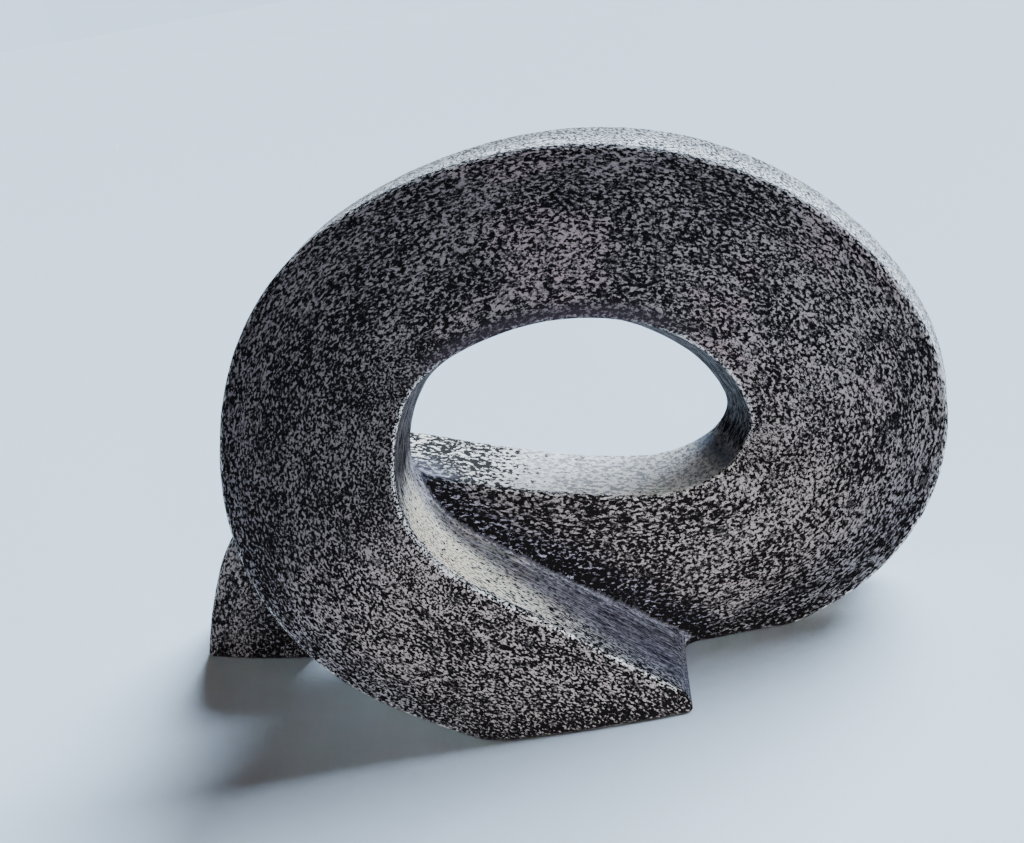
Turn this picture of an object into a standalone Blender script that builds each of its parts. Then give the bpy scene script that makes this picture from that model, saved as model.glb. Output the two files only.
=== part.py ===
"""An abstract sculpture for a table: one thick stone band that makes a single leaning loop.

The front arm comes off the left of the loop, crosses in front and runs down to a sharp tip.
The back arm comes off the right of the loop, passes behind and turns down into a foot.
Where the arms cross they are one mass, and the whole is cut flat below.

Metres, +Z up. The front looks along -Y, and the origin is under the middle of the bounding box.
"""

import math
from collections import namedtuple

import bmesh
import bpy
from mathutils import Vector

OBJECT_NAME = "abstract_stone_sculpture"
NODE_NAME = "loop_sculpture"

# The band's route, seen from the front, as bends that run into each other. It starts below the
# tip of the front arm. A positive turn is clockwise. Lengths in metres, turns in degrees.
Bend = namedtuple("Bend", "length turn")
ROUTE = (
    Bend(0.175, 0.0),  # front arm, straight
    Bend(0.110, 61.5),  # elbow, lower left
    Bend(0.050, 20.5),  # left side
    Bend(0.055, 42.5),  # left shoulder
    Bend(0.205, 68.0),  # crown
    Bend(0.070, 30.0),  # right shoulder
    Bend(0.100, 85.0),  # right end
    Bend(0.065, 29.5),  # underside
    Bend(0.150, 9.5),  # back arm
    Bend(0.065, -75.0),  # ankle, which turns the other way
    Bend(0.125, -17.0),  # foot, down through the table
)
ROUTE_LENGTH = sum(bend.length for bend in ROUTE)
START_HEADING = 146.0  # degrees above +X
BEND_BLEND = 0.040  # length over which one bend eases into the next
BLEND_TAPS = 9

# The section at stations along the route, in metres: how far the front face has drifted back,
# the width and thickness of the band, how much wider its back is on the side of the hole and on
# the outer side, and, in degrees, how far the front face turns to the right.
Station = namedtuple("Station", "along depth width thickness inner_flare outer_flare yaw")
STATIONS = (
    Station(0.000, 0.001, 0.055, 0.072, 0.013, -0.001, 12.0),  # below the front tip
    Station(0.190, 0.020, 0.080, 0.066, 0.009, -0.003, 5.0),  # elbow
    Station(0.310, 0.025, 0.083, 0.057, 0.011, -0.003, 2.0),  # left side
    Station(0.475, 0.050, 0.084, 0.054, 0.016, -0.001, -11.0),  # crown
    Station(0.605, 0.069, 0.092, 0.052, 0.020, 0.002, -11.0),  # right shoulder
    Station(0.725, 0.078, 0.105, 0.050, 0.009, 0.012, -10.0),  # right end
    Station(0.840, 0.071, 0.094, 0.052, 0.004, 0.013, -9.0),  # underside
    Station(0.960, 0.082, 0.090, 0.054, 0.004, 0.010, -9.0),  # back arm
    Station(1.170, 0.164, 0.057, 0.055, 0.003, 0.005, -11.0),  # below the foot
)

# Height of the route's start over the table: the front arm goes 44 mm below it before the cut
START_HEIGHT = -0.044

FRONT_CROWN = 0.002  # the front face swells by this in its middle
FRONT_EDGE_RADIUS = 0.003
BACK_EDGE_RADIUS = 0.006
EDGE_STEPS = 2
CROWN_STEPS = 4
WALL_STEPS = 2
SECTION_SPACING = 0.008

# A block larger than anything that reaches below the table
CUTTER_SIZE = 1.0

STONE_COLOUR = (0.105, 0.098, 0.100, 1.0)
STONE_ROUGHNESS = 0.62


def clear_scene():
    for obj in list(bpy.data.objects):
        bpy.data.objects.remove(obj, do_unlink=True)


def new_collection(name, hidden=False):
    collection = bpy.data.collections.new(name)
    collection.hide_render = hidden
    bpy.context.scene.collection.children.link(collection)
    return collection


def plain_heading(along):
    """Direction of travel where the bends meet with no easing, in degrees above +X."""
    heading = START_HEADING
    for bend in ROUTE:
        share = min(max(along / bend.length, 0.0), 1.0)
        heading -= bend.turn * share
        along -= bend.length
    return heading


def heading_at(along):
    """The plain heading, averaged over a window so that each bend eases into the next."""
    total = 0.0
    for tap in range(BLEND_TAPS):
        offset = BEND_BLEND * (tap / (BLEND_TAPS - 1) - 0.5)
        total += plain_heading(min(max(along + offset, 0.0), ROUTE_LENGTH))
    return math.radians(total / BLEND_TAPS)


def station_value(along, field):
    """Smooth value of one field of the stations, a cubic from each station to the next."""
    last = len(STATIONS) - 2
    k = max(i for i in range(last + 1) if STATIONS[i].along <= along or i == 0)
    here, there = STATIONS[k], STATIONS[k + 1]
    span = there.along - here.along
    u = (along - here.along) / span
    start, end = getattr(here, field), getattr(there, field)
    slope_in = station_slope(k, field) * span
    slope_out = station_slope(k + 1, field) * span
    return (
        (2 * u**3 - 3 * u**2 + 1) * start
        + (u**3 - 2 * u**2 + u) * slope_in
        + (3 * u**2 - 2 * u**3) * end
        + (u**3 - u**2) * slope_out
    )


def station_slope(k, field):
    """Rate of change at a station: the rates on its two sides, the nearer one counting more."""

    def rate(i):
        rise = getattr(STATIONS[i + 1], field) - getattr(STATIONS[i], field)
        return rise / (STATIONS[i + 1].along - STATIONS[i].along)

    if k == 0:
        return rate(0)
    if k == len(STATIONS) - 1:
        return rate(k - 1)
    before = STATIONS[k].along - STATIONS[k - 1].along
    after = STATIONS[k + 1].along - STATIONS[k].along
    return (rate(k - 1) * after + rate(k) * before) / (before + after)


def route_points():
    """The middle of the front face at even steps along the route, as (distance, point)."""
    steps = round(ROUTE_LENGTH / SECTION_SPACING)
    step = ROUTE_LENGTH / steps
    across, height = 0.0, START_HEIGHT
    points = []
    for i in range(steps + 1):
        along = min(i * step, ROUTE_LENGTH)
        points.append((along, Vector((across, station_value(along, "depth"), height))))
        middle = heading_at(along + step / 2)
        across += step * math.cos(middle)
        height += step * math.sin(middle)
    return points


def section_frames():
    """For each section: distance, front-face point, front normal and the way out of the loop."""
    points = route_points()
    frames = []
    for i, (along, point) in enumerate(points):
        before = points[max(i - 1, 0)][1]
        after = points[min(i + 1, len(points) - 1)][1]
        travel = (after - before).normalized()
        yaw = math.radians(station_value(along, "yaw"))
        facing = Vector((math.sin(yaw), -math.cos(yaw), 0.0))
        front = (facing - facing.dot(travel) * travel).normalized()
        frames.append((along, point, front, front.cross(travel)))
    return frames


def rounded_corner(before, corner, after, radius):
    """Points of the arc that rounds a corner of the section."""
    back = (before - corner).normalized()
    ahead = (after - corner).normalized()
    half_angle = back.angle(ahead) / 2
    centre = corner + (back + ahead).normalized() * (radius / math.sin(half_angle))
    reach = radius / math.tan(half_angle)
    first = corner + back * reach - centre
    last = corner + ahead * reach - centre
    sweep = math.pi - 2 * half_angle
    arc = []
    for i in range(EDGE_STEPS + 1):
        angle = sweep * i / EDGE_STEPS
        weight = math.sin(sweep)
        arc.append(
            centre
            + first * (math.sin(sweep - angle) / weight)
            + last * (math.sin(angle) / weight)
        )
    return arc


def section_outline(along):
    """The band's section as (outwards, frontwards) points, round from the inner front edge."""
    half = station_value(along, "width") / 2
    thickness = station_value(along, "thickness")
    inner_back = half + station_value(along, "inner_flare")
    outer_back = half + station_value(along, "outer_flare")
    corners = (
        (Vector((-half, 0.0)), FRONT_EDGE_RADIUS),
        (Vector((half, 0.0)), FRONT_EDGE_RADIUS),
        (Vector((outer_back, -thickness)), BACK_EDGE_RADIUS),
        (Vector((-inner_back, -thickness)), BACK_EDGE_RADIUS),
    )
    steps_after = (CROWN_STEPS, WALL_STEPS, CROWN_STEPS, WALL_STEPS)
    arcs = []
    for i, (corner, radius) in enumerate(corners):
        before = corners[i - 1][0]
        after = corners[(i + 1) % len(corners)][0]
        arcs.append(rounded_corner(before, corner, after, radius))
    outline = []
    for i, arc in enumerate(arcs):
        outline.extend(arc)
        start, end = arc[-1], arcs[(i + 1) % len(arcs)][0]
        for step in range(1, steps_after[i]):
            outline.append(start.lerp(end, step / steps_after[i]))
    return [Vector((out, front + crown_at(out, front, half))) for out, front in outline]


def crown_at(out, front, half):
    """How far the front face swells at this place of the section."""
    if front < -FRONT_EDGE_RADIUS:
        return 0.0
    return FRONT_CROWN * (1.0 - (out / half) ** 2)


def loft_band():
    """The whole band as one closed tube, which runs through itself where the arms cross."""
    mesh = bmesh.new()
    rings = []
    for along, point, front, outwards in section_frames():
        ring = [
            mesh.verts.new(point + outwards * out + front * forward)
            for out, forward in section_outline(along)
        ]
        rings.append(ring)
    for ring, following in zip(rings, rings[1:]):
        for i in range(len(ring)):
            j = (i + 1) % len(ring)
            mesh.faces.new((ring[i], ring[j], following[j], following[i]))
    mesh.faces.new(rings[0])
    mesh.faces.new(rings[-1])
    bmesh.ops.recalc_face_normals(mesh, faces=mesh.faces)
    return mesh


def new_object(name, mesh, collection):
    data = bpy.data.meshes.new(name)
    mesh.to_mesh(data)
    mesh.free()
    obj = bpy.data.objects.new(name, data)
    collection.objects.link(obj)
    return obj


def table_cutter(collection):
    """A block whose top is the table's surface."""
    mesh = bmesh.new()
    bmesh.ops.create_cube(mesh, size=CUTTER_SIZE)
    cutter = new_object("table_cutter", mesh, collection)
    cutter.location.z = -CUTTER_SIZE / 2
    cutter.display_type = "WIRE"
    cutter.hide_render = True
    return cutter


def cut_flat(obj, cutter):
    """Cuts the band off at the table and joins it to itself where its arms cross."""
    cut = obj.modifiers.new("flat_base", "BOOLEAN")
    cut.operation = "DIFFERENCE"
    cut.solver = "EXACT"
    cut.use_self = True
    cut.object = cutter


def centre_over_origin(obj, cutter):
    """Moves the band and its cutter so that the origin is under the middle of the bounding box."""
    bpy.context.view_layer.update()
    shape = obj.evaluated_get(bpy.context.evaluated_depsgraph_get())
    corners = [obj.matrix_world @ Vector(corner) for corner in shape.bound_box]
    for axis in (0, 1):
        middle = (min(c[axis] for c in corners) + max(c[axis] for c in corners)) / 2
        obj.location[axis] -= middle
        cutter.location[axis] -= middle


def stone_material():
    material = bpy.data.materials.new("speckled_stone")
    material.use_nodes = True
    shader = material.node_tree.nodes["Principled BSDF"]
    shader.inputs["Base Color"].default_value = STONE_COLOUR
    shader.inputs["Roughness"].default_value = STONE_ROUGHNESS
    shader.inputs["Metallic"].default_value = 0.0
    return material


def main():
    clear_scene()
    parts = new_collection(OBJECT_NAME)
    cutters = new_collection("cutters", hidden=True)
    sculpture = new_object(NODE_NAME, loft_band(), parts)
    sculpture.data.materials.append(stone_material())
    sculpture.data.shade_smooth()
    cutter = table_cutter(cutters)
    cut_flat(sculpture, cutter)
    centre_over_origin(sculpture, cutter)


main()
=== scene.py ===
"""The looks of the looped stone sculpture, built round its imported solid.

One fine mesh stands for the solid: the same band, with soft valleys where its arms meet, blunted
edges where it was cut at the table, and the slight unevenness of hand work. Its finish is a
near-black ground dry-brushed with warm grey along the band. Metres, +Z up, in the solid's frame.
"""

import math
from collections import namedtuple

import bmesh
import bpy
import numpy as np
from mathutils import Matrix, Vector, noise
from mathutils.bvhtree import BVHTree


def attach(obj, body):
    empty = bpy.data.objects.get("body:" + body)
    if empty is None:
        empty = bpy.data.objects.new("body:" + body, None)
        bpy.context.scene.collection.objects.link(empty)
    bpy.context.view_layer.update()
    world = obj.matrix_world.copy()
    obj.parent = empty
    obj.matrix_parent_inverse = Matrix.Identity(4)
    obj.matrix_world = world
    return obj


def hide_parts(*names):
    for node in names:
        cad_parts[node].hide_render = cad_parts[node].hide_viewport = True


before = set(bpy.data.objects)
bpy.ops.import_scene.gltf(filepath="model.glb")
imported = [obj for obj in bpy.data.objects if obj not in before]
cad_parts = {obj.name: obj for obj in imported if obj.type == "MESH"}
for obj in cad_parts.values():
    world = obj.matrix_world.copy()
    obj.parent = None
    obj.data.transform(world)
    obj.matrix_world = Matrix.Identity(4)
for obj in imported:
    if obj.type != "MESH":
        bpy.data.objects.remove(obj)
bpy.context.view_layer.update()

NODE = "loop_sculpture"
PIECE = "stone_loop"
SLOT = "speckled_stone"

# The band's route and sections, as the solid has them. Lengths in metres, angles in degrees.
Bend = namedtuple("Bend", "length turn")
ROUTE = (
    Bend(0.175, 0.0),  # front arm, straight
    Bend(0.110, 61.5),  # elbow, lower left
    Bend(0.050, 20.5),  # left side
    Bend(0.055, 42.5),  # left shoulder
    Bend(0.205, 68.0),  # crown
    Bend(0.070, 30.0),  # right shoulder
    Bend(0.100, 85.0),  # right end
    Bend(0.065, 29.5),  # underside
    Bend(0.150, 9.5),  # back arm
    Bend(0.065, -75.0),  # ankle, which turns the other way
    Bend(0.125, -17.0),  # foot, down through the table
)
ROUTE_LENGTH = sum(bend.length for bend in ROUTE)
START_HEADING = 146.0
START_HEIGHT = -0.044
BEND_BLEND = 0.040
BLEND_TAPS = 9

Station = namedtuple("Station", "along depth width thickness inner_flare outer_flare yaw")
STATIONS = (
    Station(0.000, 0.001, 0.055, 0.072, 0.013, -0.001, 12.0),  # below the front tip
    Station(0.190, 0.020, 0.080, 0.066, 0.009, -0.003, 5.0),  # elbow
    Station(0.310, 0.025, 0.083, 0.057, 0.011, -0.003, 2.0),  # left side
    Station(0.475, 0.050, 0.084, 0.054, 0.016, -0.001, -11.0),  # crown
    Station(0.605, 0.069, 0.092, 0.052, 0.020, 0.002, -11.0),  # right shoulder
    Station(0.725, 0.078, 0.105, 0.050, 0.009, 0.012, -10.0),  # right end
    Station(0.840, 0.071, 0.094, 0.052, 0.004, 0.013, -9.0),  # underside
    Station(0.960, 0.082, 0.090, 0.054, 0.004, 0.010, -9.0),  # back arm
    Station(1.170, 0.164, 0.057, 0.055, 0.003, 0.005, -11.0),  # below the foot
)
FRONT_CROWN = 0.002
FRONT_EDGE_RADIUS = 0.003
BACK_EDGE_RADIUS = 0.006

# How finely the band is drawn here
SECTION_SPACING = 0.002
EDGE_STEPS = 6
FACE_STEPS = 12
VOXEL = 0.0020

# The inner wall of the front arm is scooped by this, up to the end of the elbow
SCOOP = 0.0012
SCOOP_END = 0.26

# The two arms that cross: the front one runs from the start, the back one to the end
FRONT_ARM_END = 0.36
BACK_ARM_START = 0.78
VALLEY_BLEND = 0.009
TABLE_EDGE_RADIUS = 0.0022
TABLE_LEANS = (0.60, 0.85)  # how far an outer wall faces the table, and the radius it meets it with
TABLE_RADII = (0.0022, 0.050)
TABLE_REACH = 0.030
TIP_SETBACK = 0.0107
TIP_LEANS = (0.2, 0.8)  # how far a surface at the tip faces up, and the radius it turns down with
TIP_RADII = (0.0025, 0.0160)
NEAR_OTHER_ARM = 0.05
CROSSING_MARGIN = 0.02

# How points are brought onto the form
TOUCHING = 1e-5  # nearer than this, a face's own normal gives the direction
LEAST_GAP = 1e-9
MOST_COSINE = 0.99  # for two surfaces that meet nearly parallel
PLACE_ROUNDS = 4
PROJECTIONS = 4
RELAX_ROUNDS = 3
RELAX_STRENGTH = 0.5

# Hand unevenness of the surface: (size of the swells, depth)
SWELLS = ((0.070, 0.0005), (0.022, 0.0003), (0.0075, 0.00022))
SWELL_OFFSET = (31.0, 17.0, 53.0)  # in swell sizes
SWELL_FADE = 0.004  # none on the underside, full at this height over the table

# Where the looks change, as depths under the front or back face, and distances to the other arm
# and to the front edges
FACE_DEPTH = 0.0012
WALL_DEPTH = 0.0042
# the valley zone, across which the painted shade in the crease fades out
VALLEY_CORE = 0.004
VALLEY_REACH = 0.028
EDGE_CORE = 0.0013
EDGE_REACH = 0.0018
OUTER_PLACES = (0.28, 0.34, 0.62, 0.70, 0.84, 0.90)  # along the outer edge
OUTER_WEAR = (0.95, 0.45, 0.45, 0.95, 0.95, 0.45)
RIM_PLACES = (0.30, 0.36, 0.62, 0.68)  # along the inner edge
RIM_WEAR = (1.0, 0.9, 0.9, 0.45)

CAMERA_PLACE = (-0.0145, -0.6293, 0.37)
CAMERA_PITCH = 20.5
CAMERA_ROLL = 10.3
CAMERA_LENS = 43.24
CAMERA_SENSOR = 36.0

# Light: a broad window from behind on the right, a weak lamp low and far in front, and the room
WINDOW_PLACE = (0.80, 0.50, 1.05)  # only its direction counts
WINDOW_STRENGTH = 11.4
WINDOW_SPREAD = 41.0
WINDOW_TINT = (0.65, 0.82, 1.0)
FILL_PLACE = (0.93, -2.88, 0.28)
FILL_TARGET = (0.01, 0.0, 0.04)
FILL_SIZE = 0.24
FILL_SPREAD = 10.0
FILL_POWER = 0.72
FILL_TINT = (0.90, 0.97, 1.0)
ROOM_TINT = (1.0, 0.66, 0.44, 1.0)
ROOM_STRENGTH = 0.06
HAZE_TINT = (0.56, 0.76, 1.0, 1.0)  # what the camera sees beyond the floor
HAZE_STRENGTH = 2.3

# The floor's outline, as (radius, height): far away it rises gently, so that no horizon shows
FLOOR_RINGS = ((12.0, 0.0), (16.0, 0.3), (20.0, 1.5))
FLOOR_SIDES = 64
FLOOR_GAP = 0.0002
FLOOR_COLOUR = (0.74, 0.79, 0.85, 1.0)
FLOOR_ROUGHNESS = 0.55
FLOOR_GLOSS = 0.05


def plain_heading(along):
    """Direction of travel where the bends meet with no easing, in degrees above +X."""
    heading = np.full_like(along, START_HEADING)
    start = 0.0
    for bend in ROUTE:
        heading -= bend.turn * np.clip((along - start) / bend.length, 0.0, 1.0)
        start += bend.length
    return heading


def heading_at(along):
    """The plain heading, averaged over a window so that each bend eases into the next."""
    taps = BEND_BLEND * (np.arange(BLEND_TAPS) / (BLEND_TAPS - 1) - 0.5)
    window = np.clip(along[:, None] + taps, 0.0, ROUTE_LENGTH)
    return np.radians(plain_heading(window).mean(axis=1))


def station_value(along, field):
    """Smooth values of one field of the stations, a cubic from each station to the next."""
    at = np.array([station.along for station in STATIONS])
    values = np.array([getattr(station, field) for station in STATIONS])
    gaps = np.diff(at)
    rates = np.diff(values) / gaps
    slopes = np.concatenate([rates[:1], rates[:-1], rates[-1:]])
    slopes[1:-1] = (rates[:-1] * gaps[1:] + rates[1:] * gaps[:-1]) / (gaps[:-1] + gaps[1:])
    k = np.clip(np.searchsorted(at, along, side="right") - 1, 0, len(gaps) - 1)
    u = (along - at[k]) / gaps[k]
    return (
        (2 * u**3 - 3 * u**2 + 1) * values[k]
        + (u**3 - 2 * u**2 + u) * slopes[k] * gaps[k]
        + (3 * u**2 - 2 * u**3) * values[k + 1]
        + (u**3 - u**2) * slopes[k + 1] * gaps[k]
    )


def unit(vectors):
    return vectors / np.linalg.norm(vectors, axis=-1, keepdims=True)


def dot(a, b):
    return np.sum(a * b, axis=-1)


class Route:
    """Frames along the band: front-face point, travel, front normal and way out of the loop."""

    def __init__(self):
        steps = round(ROUTE_LENGTH / SECTION_SPACING)
        step = ROUTE_LENGTH / steps
        self.along = np.linspace(0.0, ROUTE_LENGTH, steps + 1)
        heading = heading_at(self.along[:-1] + step / 2)
        across = np.concatenate([[0.0], np.cumsum(step * np.cos(heading))])
        height = np.concatenate([[0.0], np.cumsum(step * np.sin(heading))]) + START_HEIGHT
        self.point = np.stack([across, station_value(self.along, "depth"), height], axis=-1)
        self.travel = unit(np.gradient(self.point, axis=0))
        yaw = np.radians(station_value(self.along, "yaw"))
        facing = np.stack([np.sin(yaw), -np.cos(yaw), np.zeros_like(yaw)], axis=-1)
        self.front = unit(facing - dot(facing, self.travel)[:, None] * self.travel)
        self.outwards = np.cross(self.front, self.travel)

    def between(self, rows, along):
        """One of the frame's vectors at any distances along the route."""
        return np.stack([np.interp(along, self.along, rows[:, i]) for i in range(3)], axis=-1)

    def band_places(self, points, along):
        """Distance along, outwards and frontwards of points, from a rough distance along."""
        for _ in range(PLACE_ROUNDS):
            ahead = points - self.between(self.point, along)
            along = along + dot(ahead, self.between(self.travel, along))
            along = np.clip(along, 0.0, ROUTE_LENGTH)
        off = points - self.between(self.point, along)
        out = dot(off, self.between(self.outwards, along))
        forward = dot(off, self.between(self.front, along))
        return np.stack([along, out, forward], axis=-1)


def rounded_corner(before, corner, after, radius):
    """Points of the arcs that round one corner of every section."""
    back, ahead = unit(before - corner), unit(after - corner)
    half_angle = np.arccos(dot(back, ahead)) / 2
    centre = corner + unit(back + ahead) * (radius / np.sin(half_angle))[:, None]
    reach = (radius / np.tan(half_angle))[:, None]
    first = corner + back * reach - centre
    last = corner + ahead * reach - centre
    sweep = (math.pi - 2 * half_angle)[:, None]
    share = np.linspace(0.0, 1.0, EDGE_STEPS + 1)[None, :]
    from_first = np.sin(sweep * (1 - share)) / np.sin(sweep)
    from_last = np.sin(sweep * share) / np.sin(sweep)
    return (
        centre[:, None]
        + first[:, None] * from_first[..., None]
        + last[:, None] * from_last[..., None]
    )


def section_outlines(along):
    """The sections as (outwards, frontwards) points, each round from its inner front edge."""
    half = station_value(along, "width") / 2
    thickness = station_value(along, "thickness")
    level = np.zeros_like(half)
    corners = (
        (np.stack([-half, level], -1), FRONT_EDGE_RADIUS),
        (np.stack([half, level], -1), FRONT_EDGE_RADIUS),
        (np.stack([half + station_value(along, "outer_flare"), -thickness], -1), BACK_EDGE_RADIUS),
        (np.stack([-half - station_value(along, "inner_flare"), -thickness], -1), BACK_EDGE_RADIUS),
    )
    arcs = []
    for i, (corner, radius) in enumerate(corners):
        arcs.append(rounded_corner(corners[i - 1][0], corner, corners[(i + 1) % 4][0], radius))
    share = (np.arange(1, FACE_STEPS) / FACE_STEPS)[None, :, None]
    scoop = SCOOP * np.clip((SCOOP_END - along) / SCOOP_END * 2, 0.0, 1.0)[:, None]
    outline = []
    for i, arc in enumerate(arcs):
        start, end = arc[:, -1:], arcs[(i + 1) % 4][:, :1]
        face = start + (end - start) * share
        if i == 3:  # the inner wall
            face[..., 0] += scoop * 4 * share[..., 0] * (1 - share[..., 0])
        outline.extend([arc, face])
    outline = np.concatenate(outline, axis=1)
    out, forward = outline[..., 0], outline[..., 1]
    crown = FRONT_CROWN * (1.0 - (out / half[:, None]) ** 2)
    outline[..., 1] += np.where(forward < -FRONT_EDGE_RADIUS, 0.0, crown)
    return outline


def band_mesh(route, start, end):
    """Vertices and faces of the closed loft over one stretch of the route."""
    rows = np.flatnonzero((route.along >= start) & (route.along <= end))
    outline = section_outlines(route.along[rows])
    points = (
        route.point[rows][:, None]
        + route.outwards[rows][:, None] * outline[..., :1]
        + route.front[rows][:, None] * outline[..., 1:]
    )
    count, around = outline.shape[:2]
    ring = np.arange(around)
    following = (ring + 1) % around
    first = np.arange(count - 1)[:, None] * around
    quads = np.stack(
        [first + ring, first + around + ring, first + around + following, first + following], -1
    )
    faces = [tuple(quad) for quad in quads.reshape(-1, 4).tolist()]
    faces.append(tuple(ring.tolist()))
    faces.append(tuple((ring[::-1] + (count - 1) * around).tolist()))
    return points.reshape(-1, 3), faces


def mesh_object(name, points, faces):
    mesh = bpy.data.meshes.new(name)
    mesh.from_pydata(points.tolist(), [], faces)
    mesh.update()
    obj = bpy.data.objects.new(name, mesh)
    bpy.context.scene.collection.objects.link(obj)
    return obj


def cut_at_table(obj):
    """Cuts the loft off flat below and closes each cut, so that it stays a closed body."""
    mesh = bmesh.new()
    mesh.from_mesh(obj.data)
    bmesh.ops.recalc_face_normals(mesh, faces=mesh.faces)
    everything = mesh.verts[:] + mesh.edges[:] + mesh.faces[:]
    bmesh.ops.bisect_plane(
        mesh, geom=everything, plane_co=(0, 0, 0), plane_no=(0, 0, 1), clear_inner=True
    )
    bmesh.ops.holes_fill(mesh, edges=[edge for edge in mesh.edges if edge.is_boundary])
    mesh.to_mesh(obj.data)
    mesh.free()


def voxel_points(obj):
    """Vertices and quads of one even skin round the object, arms fused."""
    remesh = obj.modifiers.new("skin", "REMESH")
    remesh.mode = "VOXEL"
    remesh.voxel_size = VOXEL
    shape = obj.evaluated_get(bpy.context.evaluated_depsgraph_get())
    mesh = shape.to_mesh()
    points = np.empty(len(mesh.vertices) * 3)
    mesh.vertices.foreach_get("co", points)
    faces = [tuple(polygon.vertices) for polygon in mesh.polygons]
    shape.to_mesh_clear()
    return points.reshape(-1, 3), faces


class Surface:
    """Signed distance to a closed mesh, and the direction in which it grows."""

    def __init__(self, points, faces):
        self.tree = BVHTree.FromPolygons(points.tolist(), faces)

    def distance(self, points):
        away = np.empty(len(points))
        normals = np.empty((len(points), 3))
        nearest = np.empty(len(points), int)
        for i, point in enumerate(points):
            place, normal, nearest[i], gap = self.tree.find_nearest(point)
            offset = Vector(point) - place
            outside = offset.dot(normal) >= 0
            away[i] = gap if outside else -gap
            if gap > TOUCHING:
                normal = offset / away[i]
            normals[i] = normal
        return away, normals, nearest


def smooth_least(a, a_normal, b, b_normal, blend):
    """Smooth union of two signed distances: its value and direction."""
    share = np.clip(0.5 + 0.5 * (b - a) / blend, 0.0, 1.0)
    value = b + (a - b) * share - blend * share * (1 - share)
    normal = b_normal + (a_normal - b_normal) * share[:, None]
    return value, normal


def rounded_meeting(a, a_normal, b, b_normal, radius):
    """Intersection of two signed distances, its edge rounded as by a ball of that radius."""
    a_normal = unit(a_normal)
    cosine = np.clip(dot(a_normal, b_normal), -MOST_COSINE, MOST_COSINE)
    inner_a, inner_b = a + radius, b + radius
    share_a = (inner_a - cosine * inner_b) / (1.0 - cosine**2)
    share_b = (inner_b - cosine * inner_a) / (1.0 - cosine**2)
    away = a_normal * share_a[:, None] + b_normal * share_b[:, None]
    gap = np.maximum(np.linalg.norm(away, axis=1), LEAST_GAP)
    on_edge = (share_a > 0) & (share_b > 0)
    value = np.where(on_edge, gap - radius, np.maximum(a, b))
    flat = np.where((a > b)[:, None], a_normal, b_normal)
    normal = np.where(on_edge[:, None], away / gap[:, None], flat)
    return value, normal


class Shape:
    """The finished form: the band with filled valleys, cut at the table with blunted edges."""

    def __init__(self, route):
        self.route = route
        self.whole = Surface(*band_mesh(route, 0.0, ROUTE_LENGTH))
        self.front_arm = Surface(*band_mesh(route, 0.0, FRONT_ARM_END))
        self.back_arm = Surface(*band_mesh(route, BACK_ARM_START, ROUTE_LENGTH))
        self.around = section_outlines(route.along[:1]).shape[1]

    def rough_along(self, nearest):
        """Distance along the route of the loft's faces."""
        row = np.clip(nearest // self.around, 0, len(self.route.along) - 2)
        return self.route.along[row]

    def band(self, points):
        """Value and direction of the band, rough distance along, and how far the other arm is."""
        value, normal, nearest = self.whole.distance(points)
        along = self.rough_along(nearest)
        other = np.full(len(points), NEAR_OTHER_ARM)
        in_front = along < FRONT_ARM_END - CROSSING_MARGIN
        crossing = np.flatnonzero(in_front | (along > BACK_ARM_START + CROSSING_MARGIN))
        front, front_normal, _ = self.front_arm.distance(points[crossing])
        front, front_normal = self.blunted_tip(points[crossing], front, front_normal)
        back, back_normal, _ = self.back_arm.distance(points[crossing])
        blended = smooth_least(front, front_normal, back, back_normal, VALLEY_BLEND)
        value[crossing], normal[crossing] = blended
        other[crossing] = np.minimum(np.maximum(front, back), NEAR_OTHER_ARM)
        return value, normal, along, other

    def field(self, points):
        """The same for the finished form, whose edges round the table are worn."""
        value, normal, along, other = self.band(points)
        below, downwards = self.table(points, along)
        value, normal = rounded_meeting(value, normal, below, downwards, TABLE_EDGE_RADIUS)
        return value, normal, along, other

    def table(self, points, along):
        """The table's plane, eased up to an outer wall that comes down to it at a low angle."""
        route = self.route
        below = -points[:, 2]
        downwards = np.tile([0.0, 0.0, -1.0], (len(points), 1))
        low = np.flatnonzero(points[:, 2] < TABLE_REACH)
        along, out, forward = route.band_places(points[low], along[low]).T
        depth = np.clip(-forward / station_value(along, "thickness"), 0.0, 1.0)
        half = station_value(along, "width") / 2 + station_value(along, "outer_flare") * depth
        outwards = unit(route.between(route.outwards, along))
        radius = np.interp(-outwards[:, 2], TABLE_LEANS, TABLE_RADII)
        eased = rounded_meeting(out - half, outwards, below[low], downwards[low], radius)
        below[low], downwards[low] = eased
        return below, downwards

    def blunted_tip(self, points, value, normal):
        """The front arm's distances, with the thin wedge at its tip cut back to a rounded nose."""
        route = self.route
        half = station_value(route.along, "width")[:, None] / 2
        ridge = route.point - route.outwards * half
        row = np.argmax(ridge[:, 2] > 0.0)
        depth = station_value(route.along, "thickness")[row]
        flare = station_value(route.along, "inner_flare")[row]
        into_wall = -route.front[row] * depth - route.outwards[row] * flare
        facing = unit(np.array([into_wall[1], -into_wall[0], 0.0]))
        beyond = (points - ridge[row]) @ facing + TIP_SETBACK
        radius = np.interp(unit(normal)[:, 2], TIP_LEANS, TIP_RADII)
        return rounded_meeting(value, normal, beyond, np.tile(facing, (len(points), 1)), radius)


def neighbour_middles(points, pairs):
    """The middle of each vertex's neighbours."""
    total = np.zeros_like(points)
    count = np.bincount(pairs.ravel(), minlength=len(points))
    for axis in range(3):
        total[:, axis] = np.bincount(
            pairs[:, 0], points[pairs[:, 1], axis], minlength=len(points)
        ) + np.bincount(pairs[:, 1], points[pairs[:, 0], axis], minlength=len(points))
    return total / count[:, None]


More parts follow.
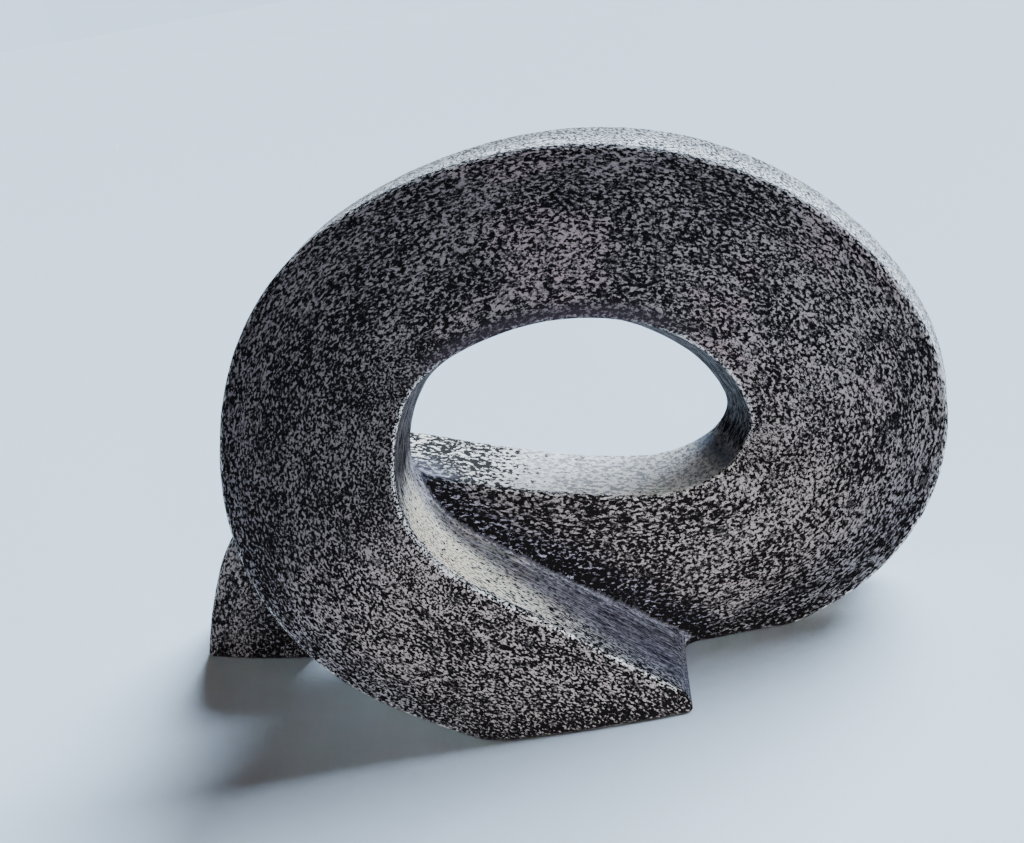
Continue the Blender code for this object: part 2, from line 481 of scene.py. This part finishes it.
def settle(shape, points, pairs):
    """Evens out the skin's vertices and brings them onto the shape."""
    for turn in range(PROJECTIONS):
        value, normal, along, other = shape.field(points)
        points = points - normal * (value / dot(normal, normal))[:, None]
        if turn < RELAX_ROUNDS:
            normal = unit(normal)
            shift = neighbour_middles(points, pairs) - points
            shift -= normal * dot(shift, normal)[:, None]
            points = points + RELAX_STRENGTH * shift
    value, normal, along, other = shape.field(points)
    points = points - normal * (value / dot(normal, normal))[:, None]
    return points, unit(normal), along, other


def swell_depths(points):
    """How far hand work has left the surface below its highest, from 0 down."""
    depth = np.zeros(len(points))
    for size, most in SWELLS:
        offset = Vector([size * steps for steps in SWELL_OFFSET])
        values = [noise.noise((Vector(point) + offset) / size) for point in points.tolist()]
        depth -= most * np.clip(0.5 + 0.5 * np.array(values), 0.0, 1.0)
    return depth


def surface_attributes(shape, points, along, other):
    """Where each vertex lies on the band, and which look it wears there."""
    band = shape.route.band_places(points, along)
    along, out, forward = band.T
    half = station_value(along, "width") / 2
    thickness = station_value(along, "thickness")
    wall = ramp(-forward, FACE_DEPTH, WALL_DEPTH) * ramp(thickness + forward, FACE_DEPTH, WALL_DEPTH)
    valley = 1.0 - ramp(other, VALLEY_CORE, VALLEY_REACH)
    off_edge = np.hypot(np.abs(out) - half, forward)
    inner_wear = np.interp(along, RIM_PLACES, RIM_WEAR)
    outer_wear = np.interp(along, OUTER_PLACES, OUTER_WEAR)
    ridge = np.where(out < 0, inner_wear, outer_wear)
    edge = ridge * (1.0 - ramp(off_edge, EDGE_CORE, EDGE_REACH))
    return {"band": band, "zone": np.stack([wall, valley, edge], axis=-1)}


def ramp(values, low, high):
    """0 below low, 1 above high, and smooth between."""
    share = np.clip((values - low) / (high - low), 0.0, 1.0)
    return share * share * (3.0 - 2.0 * share)


def carved_loop():
    """The sculpture as one fine skin that stands for the solid."""
    route = Route()
    loft = mesh_object("loft", *band_mesh(route, 0.0, ROUTE_LENGTH))
    cut_at_table(loft)
    low, high = corners_of(loft)
    middle = (low + high) / 2
    points, faces = voxel_points(loft)
    bpy.data.objects.remove(loft)

    pairs = edge_pairs(faces)
    shape = Shape(route)
    points, normals, along, other = settle(shape, points, pairs)
    lift = ramp(points[:, 2], 0.0, SWELL_FADE)
    depth = swell_depths(points) * lift
    attributes = surface_attributes(shape, points, along, other)
    points = points + normals * depth[:, None]
    points[:, :2] -= middle[:2]
    points[:, 2] = np.maximum(points[:, 2], 0.0)

    piece = mesh_object(PIECE, points, faces)
    piece.data.shade_smooth()
    for name, values in attributes.items():
        attribute = piece.data.attributes.new(name, "FLOAT_VECTOR", "POINT")
        attribute.data.foreach_set("vector", values.astype(np.float32).ravel())
    return piece


def corners_of(obj):
    points = np.empty(len(obj.data.vertices) * 3)
    obj.data.vertices.foreach_get("co", points)
    points = points.reshape(-1, 3)
    return points.min(axis=0), points.max(axis=0)


def edge_pairs(faces):
    """Every pair of vertices that an edge joins."""
    pairs = set()
    for face in faces:
        for a, b in zip(face, face[1:] + face[:1]):
            pairs.add((min(a, b), max(a, b)))
    return np.array(sorted(pairs))


class Shader:
    """A material's node tree, with a short call for each kind of node that it uses."""

    def __init__(self, name):
        self.material = bpy.data.materials.new(name)
        self.material.use_nodes = True
        self.tree = self.material.node_tree
        self.tree.nodes.clear()

    def node(self, kind, sockets=None, **settings):
        node = self.tree.nodes.new(kind)
        for setting, value in settings.items():
            setattr(node, setting, value)
        for socket, value in (sockets or {}).items():
            if isinstance(value, bpy.types.NodeSocket):
                self.tree.links.new(value, node.inputs[socket])
            else:
                node.inputs[socket].default_value = value
        return node

    def math(self, operation, a, b=0.0, c=0.0):
        return self.node("ShaderNodeMath", {0: a, 1: b, 2: c}, operation=operation).outputs[0]

    def product(self, *values):
        result = values[0]
        for value in values[1:]:
            result = self.math("MULTIPLY", result, value)
        return result

    def total(self, *values):
        result = values[0]
        for value in values[1:]:
            result = self.math("ADD", result, value)
        return result

    def add_part(self, base, share, value):
        """The base plus a share of the value."""
        return self.math("MULTIPLY_ADD", value, share, base)

    def attribute(self, name):
        return self.node("ShaderNodeAttribute", attribute_name=name).outputs["Vector"]

    def parts(self, vector):
        return self.node("ShaderNodeSeparateXYZ", {0: vector}).outputs

    def noise(self, vector, per_metre, detail, roughness, offset=0.0, distortion=0.0):
        """Noise whose swells number per_metre along, out and forward on the band."""
        place = self.node(
            "ShaderNodeVectorMath",
            {0: vector, 1: per_metre, 2: (offset, offset, offset)},
            operation="MULTIPLY_ADD",
        ).outputs[0]
        sockets = {
            "Vector": place,
            "Scale": 1.0,
            "Detail": detail,
            "Roughness": roughness,
            "Distortion": distortion,
        }
        return self.node("ShaderNodeTexNoise", sockets).outputs["Fac"]

    def rise(self, value, ends):
        """Smoothly from 0 at the first end to 1 at the second, which may be the lower one."""
        sockets = {"Value": value, "From Min": ends[0], "From Max": ends[1]}
        node = self.node("ShaderNodeMapRange", sockets, interpolation_type="SMOOTHSTEP")
        return node.outputs["Result"]

    def within(self, value, stretch):
        """1 inside the stretch, and smoothly down to 0 at its ends."""
        starts = self.rise(value, (stretch.begin, stretch.full))
        return self.product(starts, self.rise(value, (stretch.end, stretch.fade)))

    def largest(self, a, b):
        return self.math("MAXIMUM", a, b)

    def mix(self, share, a, b):
        return self.node("ShaderNodeMix", {0: share, 2: a, 3: b}, data_type="FLOAT").outputs[0]

    def mix_colour(self, share, a, b):
        return self.node("ShaderNodeMix", {0: share, 6: a, 7: b}, data_type="RGBA").outputs[2]

    def blend(self, base, other, share, where):
        """The base colour, with this share of the other one at the places given."""
        return self.mix_colour(self.math("MULTIPLY", where, share), base, other)

    def finish(self, bsdf):
        self.node("ShaderNodeOutputMaterial", {"Surface": bsdf.outputs[0]})
        return self.material


def colour(red, green, blue_shade):
    return (red, green, blue_shade, 1.0)


BLACK = colour(0.0028, 0.0020, 0.0023)
VEIL = colour(0.012, 0.010, 0.010)
SHADE = colour(0.038, 0.032, 0.033)
DIM = colour(0.096, 0.080, 0.082)
GREY = colour(0.240, 0.196, 0.189)
ROSE = colour(0.245, 0.172, 0.172)
LILAC = colour(0.098, 0.070, 0.081)
# slate blue-grey, used below as painted shade
SLATE = colour(0.125, 0.124, 0.150)
# pale, used below as painted light on the lit walls and for the dry-brush on the ridges
PALE = colour(0.940, 0.890, 0.860)
# used below for a lighter ground on the lit walls, as painted light, and for a darker back strip of
# the outer wall, as painted shade
PALE_SHADE = colour(0.125, 0.112, 0.108)
# cream: painted light on the back arm's top
CREAM = colour(0.850, 0.750, 0.640)
ASH = colour(0.370, 0.350, 0.370)
# sand: beige made pale as painted light, on the lit end of the scoop
SAND = colour(0.920, 0.770, 0.550)
# mist: the back arm's top in a hazy grain, pale as painted light
MIST = colour(0.820, 0.760, 0.720)
MIST_SHADE = colour(0.230, 0.215, 0.215)
# blue: painted shade on the back arm's top
SHADE_BLUE = colour(0.115, 0.155, 0.220)
# dark purple with paler streaks: painted shade in the crease where the arms meet
CREASE_SHADE_DARK = colour(0.026, 0.024, 0.040)
CREASE_SHADE_LIGHT = colour(0.265, 0.250, 0.320)
PLUM = colour(0.052, 0.040, 0.050)


# Stretches of the band, in metres along it: a look sets in from begin to full, and goes from
# fade to end
Stretch = namedtuple("Stretch", "begin full fade end")
STREAKY = Stretch(0.22, 0.30, 0.74, 0.80)  # the inner wall from the elbow round the hole
BACK_TOP = Stretch(0.72, 0.77, 0.99, 1.05)  # the inner wall on top of the back arm
# the hole's right inner wall faces away from the window, and its darkness is painted shade
HOLLOW_SHADE = Stretch(0.54, 0.61, 0.72, 0.76)  # the inner wall at the hole's right end
# the left side and crown, and the left side once more, darker as painted shade
SIDE_SHADE = Stretch(0.21, 0.30, 0.45, 0.65)  # left side and crown
FLANK_SHADE = Stretch(0.22, 0.28, 0.33, 0.40)  # left side
CROWN = Stretch(0.38, 0.46, 0.60, 0.70)
BLUSH = Stretch(0.435, 0.465, 0.485, 0.520)  # the crown's middle
HOLE_TOP = Stretch(0.34, 0.42, 0.52, 0.59)
UNDERSIDE = Stretch(0.66, 0.74, 0.86, 0.93)
BACK_ARM = Stretch(0.76, 0.86, 1.00, 1.06)
# beside the valley, the back arm's face is darkened as painted shade
CRANNY_SHADE = Stretch(0.85, 0.91, 0.98, 1.03)  # the back arm beside the valley

# One-sided changes, as the place where a look is absent and the place where it is full
SCOOP_ALONG = (0.29, 0.23)
# the lit end of the scoop, paler as painted light
LIT_SCOOP_ALONG = (0.09, 0.19)
MISTY_ALONG = (0.95, 0.88)
# the back arm's top, paler as painted light
LIT_TOP_ALONG = (0.75, 0.82)
# darker towards the front arm's end near the table: painted shade
LOW_ALONG = (0.24, 0.10)
# darker along the face's outer edge on the front arm, and on the foot beside the front arm: painted
# shade
EDGE_SHADE_ALONG = (0.34, 0.22)
SHELTERED_ALONG = (0.97, 1.03)
# blue towards the back arm's right end and along its front: painted shade
BLUE_ALONG = (0.80, 0.76)
BLUE_STRIP_ALONG = (0.87, 0.81)
BLUE_STRIP_FORWARD = (-0.038, -0.012)
INNER_OUT = (0.004, -0.004)
# the foot beside the front arm, and the face's outer edge: painted shade
SHELTERED_OUT = (-0.024, 0.012)
EDGE_SHADE_OUT = (0.012, 0.040)
RIM_OUT = (-0.030, -0.039)
BLUSH_OUTER = (0.018, 0.002)
BLUSH_INNER = (-0.036, -0.020)
# the outer wall's back strip, darker as painted shade
FAR_FORWARD = (-0.010, -0.040)
# darker just above the table, where it touches: painted shade
CONTACT_SHADE_HEIGHT = (0.018, 0.002)
# painted shade in the crease reaches from the valley into the deep part of the scoop
CREASE_SHADE_FORWARD = (0.0115, -0.0085)  # where the band starts, and further back along it by the slope
CREASE_SHADE_SLOPE = 0.20
# the low look is painted shade near the table
BACK_ARM_LOW = 1.3  # how strong the low look is there
# share of the painted blue shade along the front
BLUE_STRIP_SHARE = 0.4

# The grain is fine up to the crown and coarse from there, and changes at ragged lines towards
# the band's inner and outer edges
COARSE_ALONG = (0.37, 0.41)
INNER_GRAIN_OUT = (-0.016, -0.020)
OUTER_GRAIN_OUT = (0.014, 0.018)
RAGGED_ALONG = 0.4
RAGGED_OUT = 0.04

# How much each place, and the patchy cover, adds to the level that decides where grey lies
FACE_LEVELS = {
    # less grey beside the crease: painted shade
    "valley": -0.060,
    # less grey near the table: painted shade
    "low": -0.025,
    # less grey on the left side and crown, and more so on the left side: painted shade
    "side_shade": -0.012,
    "flank_shade": -0.010,
    # less grey along the low outer edges and on the sheltered foot: painted shade
    "edge_shade": -0.010,
    "blushing": 0.022,
    # beside the valley on the back arm: a little more grey, under the dimmer paint of painted shade
    "cranny_shade": 0.025,
    # less grey just above the table and on the sheltered foot: painted shade
    "contact_shade": -0.05,
    "rim": -0.03,
}
# less grey on the inner wall at the hole's right end is painted shade; more grey on the lit end of
# the scoop goes with its painted light
WALL_LEVELS = {"back_top": -0.045, "painted_light_scoop": 0.06, "misty": 0.20, "hollow_shade": -0.01}
EDGE_LEVEL = 0.06
COVER_LEVEL = 0.15

# Noise values and levels between which a look goes from absent to full
GREY_FROM = (0.498, 0.517)
VEIL_FROM = (0.465, 0.500)
RELIEF_FROM = (0.40, 0.56)
FULL_FROM = (0.43, 0.63)
ROSY_FROM = (0.49, 0.63)
MIST_SHADE_FROM = (0.45, 0.57)
CREASE_SHADE_LIGHT_FROM = (0.44, 0.60)

# Coats of colour, each with its share and its place, one over the other
FIRST_PAINTS = (
    # dimmer paint on the left side and crown, and more so on the left side: painted shade
    (DIM, 0.62, "side_shade"),
    (DIM, 0.7, "flank_shade"),
    (ROSE, 0.7, "rosy"),
    # slate along the low outer edges and on the sheltered foot: painted shade
    (SLATE, 0.6, "edge_shade"),
    # dimmer paint beside the valley on the back arm: painted shade
    (DIM, 0.45, "cranny_shade"),
    (LILAC, 0.7, "streaky"),
    # dimmer paint on the inner wall at the hole's right end: painted shade
    (DIM, 0.7, "hollow_shade"),
    (ASH, 0.9, "scoop"),
    # paler paint on the outer walls, the back arm's top and the lit end of the scoop: painted light
    (PALE, 1.0, "painted_light"),
    (CREAM, 0.8, "painted_light_top"),
    (SAND, 0.8, "painted_light_scoop"),
)
# pale dry-brush on the ridges; the outer wall's back strip darker as painted shade
LAST_PAINTS = ((PALE, 0.7, "edge"), (PALE_SHADE, 0.45, "far_edge_shade"))
# a lighter ground on the lit outer walls and the back arm's top: painted light
GROUND_PAINTS = ((PLUM, 0.35, "rim"), (PALE_SHADE, 0.5, "outer"), (PALE_SHADE, 0.2, "painted_light_top"))
# painted blue shade on the back arm's top
BLUE_SHARE = 0.85
HAZY_SHARE = 0.95
# thin paint paler on the lit walls: painted light
FAINT_PALE_SHARE = 0.28
RIM_SHARE = 0.8
# shares of the painted shade in the crease, over the paint and over the wall's ground
CREASE_SHADE_SHARE = 0.85
GROUND_CREASE_SHADE_SHARE = 0.45
PATCH_FULLNESS = 0.5
MOTTLE_FULLNESS = 0.6
# fuller paint on the lit walls: painted light
PAINTED_LIGHT_FULLNESS = 0.13

GROUND_ROUGHNESS = 0.9
GREY_ROUGHNESS = 0.55
STONE_GLOSS = 0.06
RELIEF_STRENGTH = 0.7
RELIEF_HEIGHT = 0.0004


class StoneFinish:
    """Near-black ground, dry-brushed with grey along the band: coarse on the faces, streaked on
    the inner walls and worn pale on the ridges. Painted shade darkens it beside the crease, low
    down, on the left side and crown and in other places where shade falls, and painted light
    makes it paler on the walls that face the window."""

    def __init__(self):
        self.shader = Shader(SLOT)
        self.band = self.shader.attribute("band")
        self.along, self.out, self.forward = self.shader.parts(self.band)
        self.make_noises()
        self.find_places()

    def make_noises(self):
        shader, band = self.shader, self.band
        self.cover = shader.noise(band, (28, 50, 50), 2.0, 0.5)
        self.patch = shader.noise(band, (120, 190, 190), 2.0, 0.5, offset=3.0)
        self.coarse = shader.noise(band, (400, 580, 580), 3.0, 0.7, offset=7.0, distortion=0.25)
        self.coarse_inner = shader.noise(
            band, (310, 580, 580), 3.0, 0.7, offset=83.0, distortion=0.25
        )
        self.coarse_outer = shader.noise(
            band, (490, 820, 820), 3.0, 0.7, offset=97.0, distortion=0.25
        )
        self.fine = shader.noise(band, (560, 900, 900), 2.0, 0.6, offset=67.0, distortion=0.25)
        self.fine_outer = shader.noise(
            band, (640, 1100, 1100), 2.0, 0.6, offset=101.0, distortion=0.25
        )
        self.dashes = shader.noise(band, (310, 600, 460), 3.0, 0.62, offset=13.0, distortion=0.2)
        self.grain = shader.noise(band, (270, 520, 460), 2.0, 0.75, offset=71.0)
        self.flecks = shader.noise(band, (400, 1000, 1000), 2.0, 0.6, offset=29.0)
        self.streaks = shader.noise(band, (60, 800, 800), 3.0, 0.7, offset=37.0)
        self.mottle = shader.noise(band, (800, 1200, 1200), 1.0, 0.5, offset=41.0)
        self.blotches = shader.noise(band, (16, 30, 30), 1.0, 0.5, offset=53.0)
        self.specks = shader.noise(band, (850, 900, 480), 2.0, 0.65, offset=61.0)

    def find_places(self):
        """How far each point belongs to each place: from 0 to 1, but for the low look."""
        shader, along, out, forward = self.shader, self.along, self.out, self.forward
        wall, self.valley, self.edge = shader.parts(shader.attribute("zone"))
        face = shader.math("SUBTRACT", 1.0, wall)
        self.inner = shader.product(wall, shader.rise(out, INNER_OUT))
        self.outer = shader.math("SUBTRACT", wall, self.inner)
        self.find_wall_places()

        # the left side and crown, and the left side's face, in painted shade
        self.side_shade = shader.within(along, SIDE_SHADE)
        self.flank_shade = shader.product(shader.within(along, FLANK_SHADE), face)
        # the back arm's face beside the valley, in painted shade
        self.cranny_shade = shader.product(shader.within(along, CRANNY_SHADE), face)
        # painted shade near the table, at the front arm's end and along the back arm
        back_arm = shader.within(along, BACK_ARM)
        self.low = shader.add_part(shader.rise(along, LOW_ALONG), BACK_ARM_LOW, back_arm)
        rim = shader.product(shader.within(along, HOLE_TOP), face)
        self.rim = shader.product(rim, shader.rise(out, RIM_OUT))

        # the foot's face beside the front arm, which keeps light off it: painted shade
        sheltered_shade = shader.rise(along, SHELTERED_ALONG)
        sheltered_shade = shader.product(sheltered_shade, shader.rise(out, SHELTERED_OUT))
        # painted shade just above the table, and on the foot beside the front arm
        height = shader.parts(shader.node("ShaderNodeTexCoord").outputs["Object"])[2]
        self.contact_shade = shader.largest(shader.rise(height, CONTACT_SHADE_HEIGHT), sheltered_shade)
        # darker and bluer along the face's outer edge under the loop and on the front arm, and on
        # the sheltered foot: painted shade
        edge_shade = shader.total(shader.within(along, UNDERSIDE), shader.rise(along, EDGE_SHADE_ALONG))
        edge_shade = shader.product(edge_shade, face, shader.rise(out, EDGE_SHADE_OUT))
        self.edge_shade = shader.largest(edge_shade, sheltered_shade)

        across = shader.product(shader.rise(out, BLUSH_OUTER), shader.rise(out, BLUSH_INNER))
        self.blushing = shader.product(shader.within(along, BLUSH), across, face)
        blotched = shader.product(shader.within(along, CROWN), shader.rise(self.blotches, ROSY_FROM))
        self.rosy = shader.largest(blotched, self.blushing)

        # painted shade in the crease: the valley, and the deep part of the scoop beside it
        deep = shader.rise(shader.add_part(forward, CREASE_SHADE_SLOPE, along), CREASE_SHADE_FORWARD)
        self.crease_shade = shader.largest(self.valley, shader.product(deep, self.scoop))

    def find_wall_places(self):
        shader, along, forward = self.shader, self.along, self.forward
        self.scoop = shader.product(self.inner, shader.rise(along, SCOOP_ALONG))
        # the lit end of the scoop, paler as painted light
        self.painted_light_scoop = shader.product(self.scoop, shader.rise(along, LIT_SCOOP_ALONG))
        self.streaky = shader.product(self.inner, shader.within(along, STREAKY))
        # the inner wall at the hole's right end, in painted shade
        self.hollow_shade = shader.product(self.inner, shader.within(along, HOLLOW_SHADE))
        self.back_top = shader.product(self.inner, shader.within(along, BACK_TOP))
        # the back arm's top, and its hazy end, paler as painted light
        self.misty = shader.product(self.back_top, shader.rise(along, MISTY_ALONG))
        self.painted_light_top = shader.product(self.back_top, shader.rise(along, LIT_TOP_ALONG))
        # painted blue shade towards the back arm's right end and along its front
        strip = shader.rise(forward, BLUE_STRIP_FORWARD)
        strip = shader.product(strip, shader.rise(along, BLUE_STRIP_ALONG), BLUE_STRIP_SHARE)
        blue_shade = shader.largest(strip, shader.rise(along, BLUE_ALONG))
        self.blue_shade = shader.product(self.misty, blue_shade)
        # the walls that face the window, made paler as painted light, on outer walls that also carry
        # more grey
        self.painted_light = shader.total(self.outer, self.painted_light_scoop, self.painted_light_top)
        # the outer wall's back strip, darker as painted shade
        self.far_edge_shade = shader.product(self.outer, shader.rise(forward, FAR_FORWARD))

    def around_half(self, noise):
        return self.shader.math("SUBTRACT", noise, 0.5)

    def raised(self, level, changes):
        for place, change in changes.items():
            level = self.shader.add_part(level, change, getattr(self, place))
        return level

    def painted(self, base, paints):
        for paint, share, place in paints:
            base = self.shader.blend(base, paint, share, getattr(self, place))
        return base

    def level(self):
        """How much the place favours grey, which one threshold then cuts."""
        shader = self.shader
        uneven = self.around_half(self.patch)
        ragged_out = shader.add_part(self.out, RAGGED_OUT, uneven)
        ragged_along = shader.add_part(self.along, RAGGED_ALONG, uneven)
        inwards = shader.rise(ragged_out, INNER_GRAIN_OUT)
        outwards = shader.rise(ragged_out, OUTER_GRAIN_OUT)
        coarse = shader.mix(inwards, self.coarse, self.coarse_inner)
        coarse = shader.mix(outwards, coarse, self.coarse_outer)
        fine = shader.mix(outwards, self.fine, self.fine_outer)
        level = shader.mix(shader.rise(ragged_along, COARSE_ALONG), fine, coarse)
        level = shader.add_part(level, COVER_LEVEL, self.around_half(self.cover))
        level = self.raised(level, FACE_LEVELS)
        walls = shader.mix(self.back_top, self.flecks, self.dashes)
        walls = self.raised(shader.mix(self.streaky, walls, self.streaks), WALL_LEVELS)
        level = shader.mix(self.inner, level, walls)
        level = shader.mix(self.outer, level, self.specks)
        return shader.add_part(level, EDGE_LEVEL, self.edge)

    def paint(self, level):
        """The grey itself: thin where the brush barely touched, full on the high spots. Its colour
        is made paler as painted light on the lit walls, and darker as painted shade in the places
        marked.
        """
        shader = self.shader
        hazy = shader.mix_colour(shader.rise(self.grain, MIST_SHADE_FROM), MIST, MIST_SHADE)
        # painted blue shade over the hazy grain
        hazy = shader.blend(hazy, SHADE_BLUE, BLUE_SHARE, self.blue_shade)
        full = self.painted(GREY, FIRST_PAINTS)
        # the hazy end of the back arm's top, pale as painted light
        full = shader.blend(full, hazy, HAZY_SHARE, self.misty)
        full = self.painted(full, LAST_PAINTS)
        # thin paint paler, and paint fuller, on the lit walls: painted light
        faint = shader.blend(SHADE, PALE, FAINT_PALE_SHARE, self.painted_light)
        fullness = shader.add_part(level, PATCH_FULLNESS, self.around_half(self.patch))
        fullness = shader.add_part(fullness, MOTTLE_FULLNESS, self.around_half(self.mottle))
        fullness = shader.add_part(fullness, PAINTED_LIGHT_FULLNESS, self.painted_light)
        return shader.mix_colour(shader.rise(fullness, FULL_FROM), faint, full)

    def material(self):
        shader = self.shader
        level = self.level()
        grey = shader.rise(level, GREY_FROM)
        # painted shade in the crease: dark purple with paler streaks, over the paint and over the
        # scoop wall's ground
        crease_shade_colour = shader.mix_colour(shader.rise(self.streaks, CREASE_SHADE_LIGHT_FROM), CREASE_SHADE_DARK, CREASE_SHADE_LIGHT)
        paint = shader.blend(self.paint(level), crease_shade_colour, CREASE_SHADE_SHARE, self.crease_shade)
        paint = shader.blend(paint, PLUM, RIM_SHARE, self.rim)
        ground = shader.mix_colour(shader.rise(level, VEIL_FROM), BLACK, VEIL)
        crease_shaded_wall = shader.product(self.crease_shade, self.inner)
        ground = shader.blend(ground, crease_shade_colour, GROUND_CREASE_SHADE_SHARE, crease_shaded_wall)
        ground = self.painted(ground, GROUND_PAINTS)
        bump = {
            "Height": shader.rise(level, RELIEF_FROM),
            "Strength": RELIEF_STRENGTH,
            "Distance": RELIEF_HEIGHT,
        }
        sockets = {
            "Base Color": shader.mix_colour(grey, ground, paint),
            "Roughness": shader.mix(grey, GROUND_ROUGHNESS, GREY_ROUGHNESS),
            "Specular IOR Level": STONE_GLOSS,
            "Normal": shader.node("ShaderNodeBump", bump).outputs[0],
        }
        return shader.finish(shader.node("ShaderNodeBsdfPrincipled", sockets))


def plain_finish(name, base, roughness, gloss):
    sockets = {"Base Color": base, "Roughness": roughness, "Specular IOR Level": gloss}
    shader = Shader(name)
    return shader.finish(shader.node("ShaderNodeBsdfPrincipled", sockets))


def floor():
    turns = np.arange(FLOOR_SIDES) * (2 * math.pi / FLOOR_SIDES)
    points = []
    for radius, height in FLOOR_RINGS:
        ring = [radius * np.cos(turns), radius * np.sin(turns), np.full(FLOOR_SIDES, height)]
        points.append(np.stack(ring, axis=-1))
    faces = [tuple(range(FLOOR_SIDES))]
    for first in range(0, FLOOR_SIDES * (len(FLOOR_RINGS) - 1), FLOOR_SIDES):
        for i in range(FLOOR_SIDES):
            a, b = first + i, first + (i + 1) % FLOOR_SIDES
            faces.append((a, a + FLOOR_SIDES, b + FLOOR_SIDES, b))
    obj = mesh_object("floor", np.concatenate(points), faces)
    obj.location.z = -FLOOR_GAP
    finish = plain_finish("pale_floor", FLOOR_COLOUR, FLOOR_ROUGHNESS, FLOOR_GLOSS)
    obj.data.materials.append(finish)


def aim(obj, place, target):
    obj.location = place
    obj.rotation_mode = "QUATERNION"
    obj.rotation_quaternion = (Vector(target) - Vector(place)).to_track_quat("-Z", "Y")
    obj.visible_camera = False
    bpy.context.scene.collection.objects.link(obj)


def studio_light():
    """The window and the lamp. Neither shows to the camera."""
    fill = bpy.data.lights.new("fill", "AREA")
    fill.size = FILL_SIZE
    fill.spread = math.radians(FILL_SPREAD)
    fill.energy = FILL_POWER
    fill.color = FILL_TINT
    aim(bpy.data.objects.new("fill", fill), FILL_PLACE, FILL_TARGET)
    window = bpy.data.lights.new("window", "SUN")
    window.energy = WINDOW_STRENGTH
    window.angle = math.radians(WINDOW_SPREAD)
    window.color = WINDOW_TINT
    aim(bpy.data.objects.new("window", window), WINDOW_PLACE, (0.0, 0.0, 0.0))
    bpy.context.scene.world = studio_room()


def studio_room():
    """Dim and warm as light, pale where the camera looks past the floor."""
    world = bpy.data.worlds.new("studio")
    world.use_nodes = True
    nodes, links = world.node_tree.nodes, world.node_tree.links
    dim = nodes["Background"]
    dim.inputs["Color"].default_value = ROOM_TINT
    dim.inputs["Strength"].default_value = ROOM_STRENGTH
    haze = nodes.new("ShaderNodeBackground")
    haze.inputs["Color"].default_value = HAZE_TINT
    haze.inputs["Strength"].default_value = HAZE_STRENGTH
    seen = nodes.new("ShaderNodeMixShader")
    links.new(nodes.new("ShaderNodeLightPath").outputs["Is Camera Ray"], seen.inputs[0])
    links.new(dim.outputs[0], seen.inputs[1])
    links.new(haze.outputs[0], seen.inputs[2])
    links.new(seen.outputs[0], nodes["World Output"].inputs["Surface"])
    return world


def camera():
    """Looks slightly down, held a little askew."""
    pitch, roll = math.radians(CAMERA_PITCH), math.radians(CAMERA_ROLL)
    right = Vector((1.0, 0.0, 0.0))
    down = Vector((0.0, -math.sin(pitch), -math.cos(pitch)))
    ahead = Vector((0.0, math.cos(pitch), -math.sin(pitch)))
    axes = (
        right * math.cos(roll) + down * math.sin(roll),
        right * math.sin(roll) - down * math.cos(roll),
        -ahead,
    )
    data = bpy.data.cameras.new("camera")
    data.lens = CAMERA_LENS
    data.sensor_width = CAMERA_SENSOR
    obj = bpy.data.objects.new("camera", data)
    obj.matrix_world = Matrix.Translation(CAMERA_PLACE) @ Matrix(axes).transposed().to_4x4()
    bpy.context.scene.collection.objects.link(obj)
    bpy.context.scene.camera = obj


camera()
studio_light()
floor()

piece = carved_loop()
piece.data.materials.append(StoneFinish().material())
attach(piece, "root")
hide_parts(NODE)
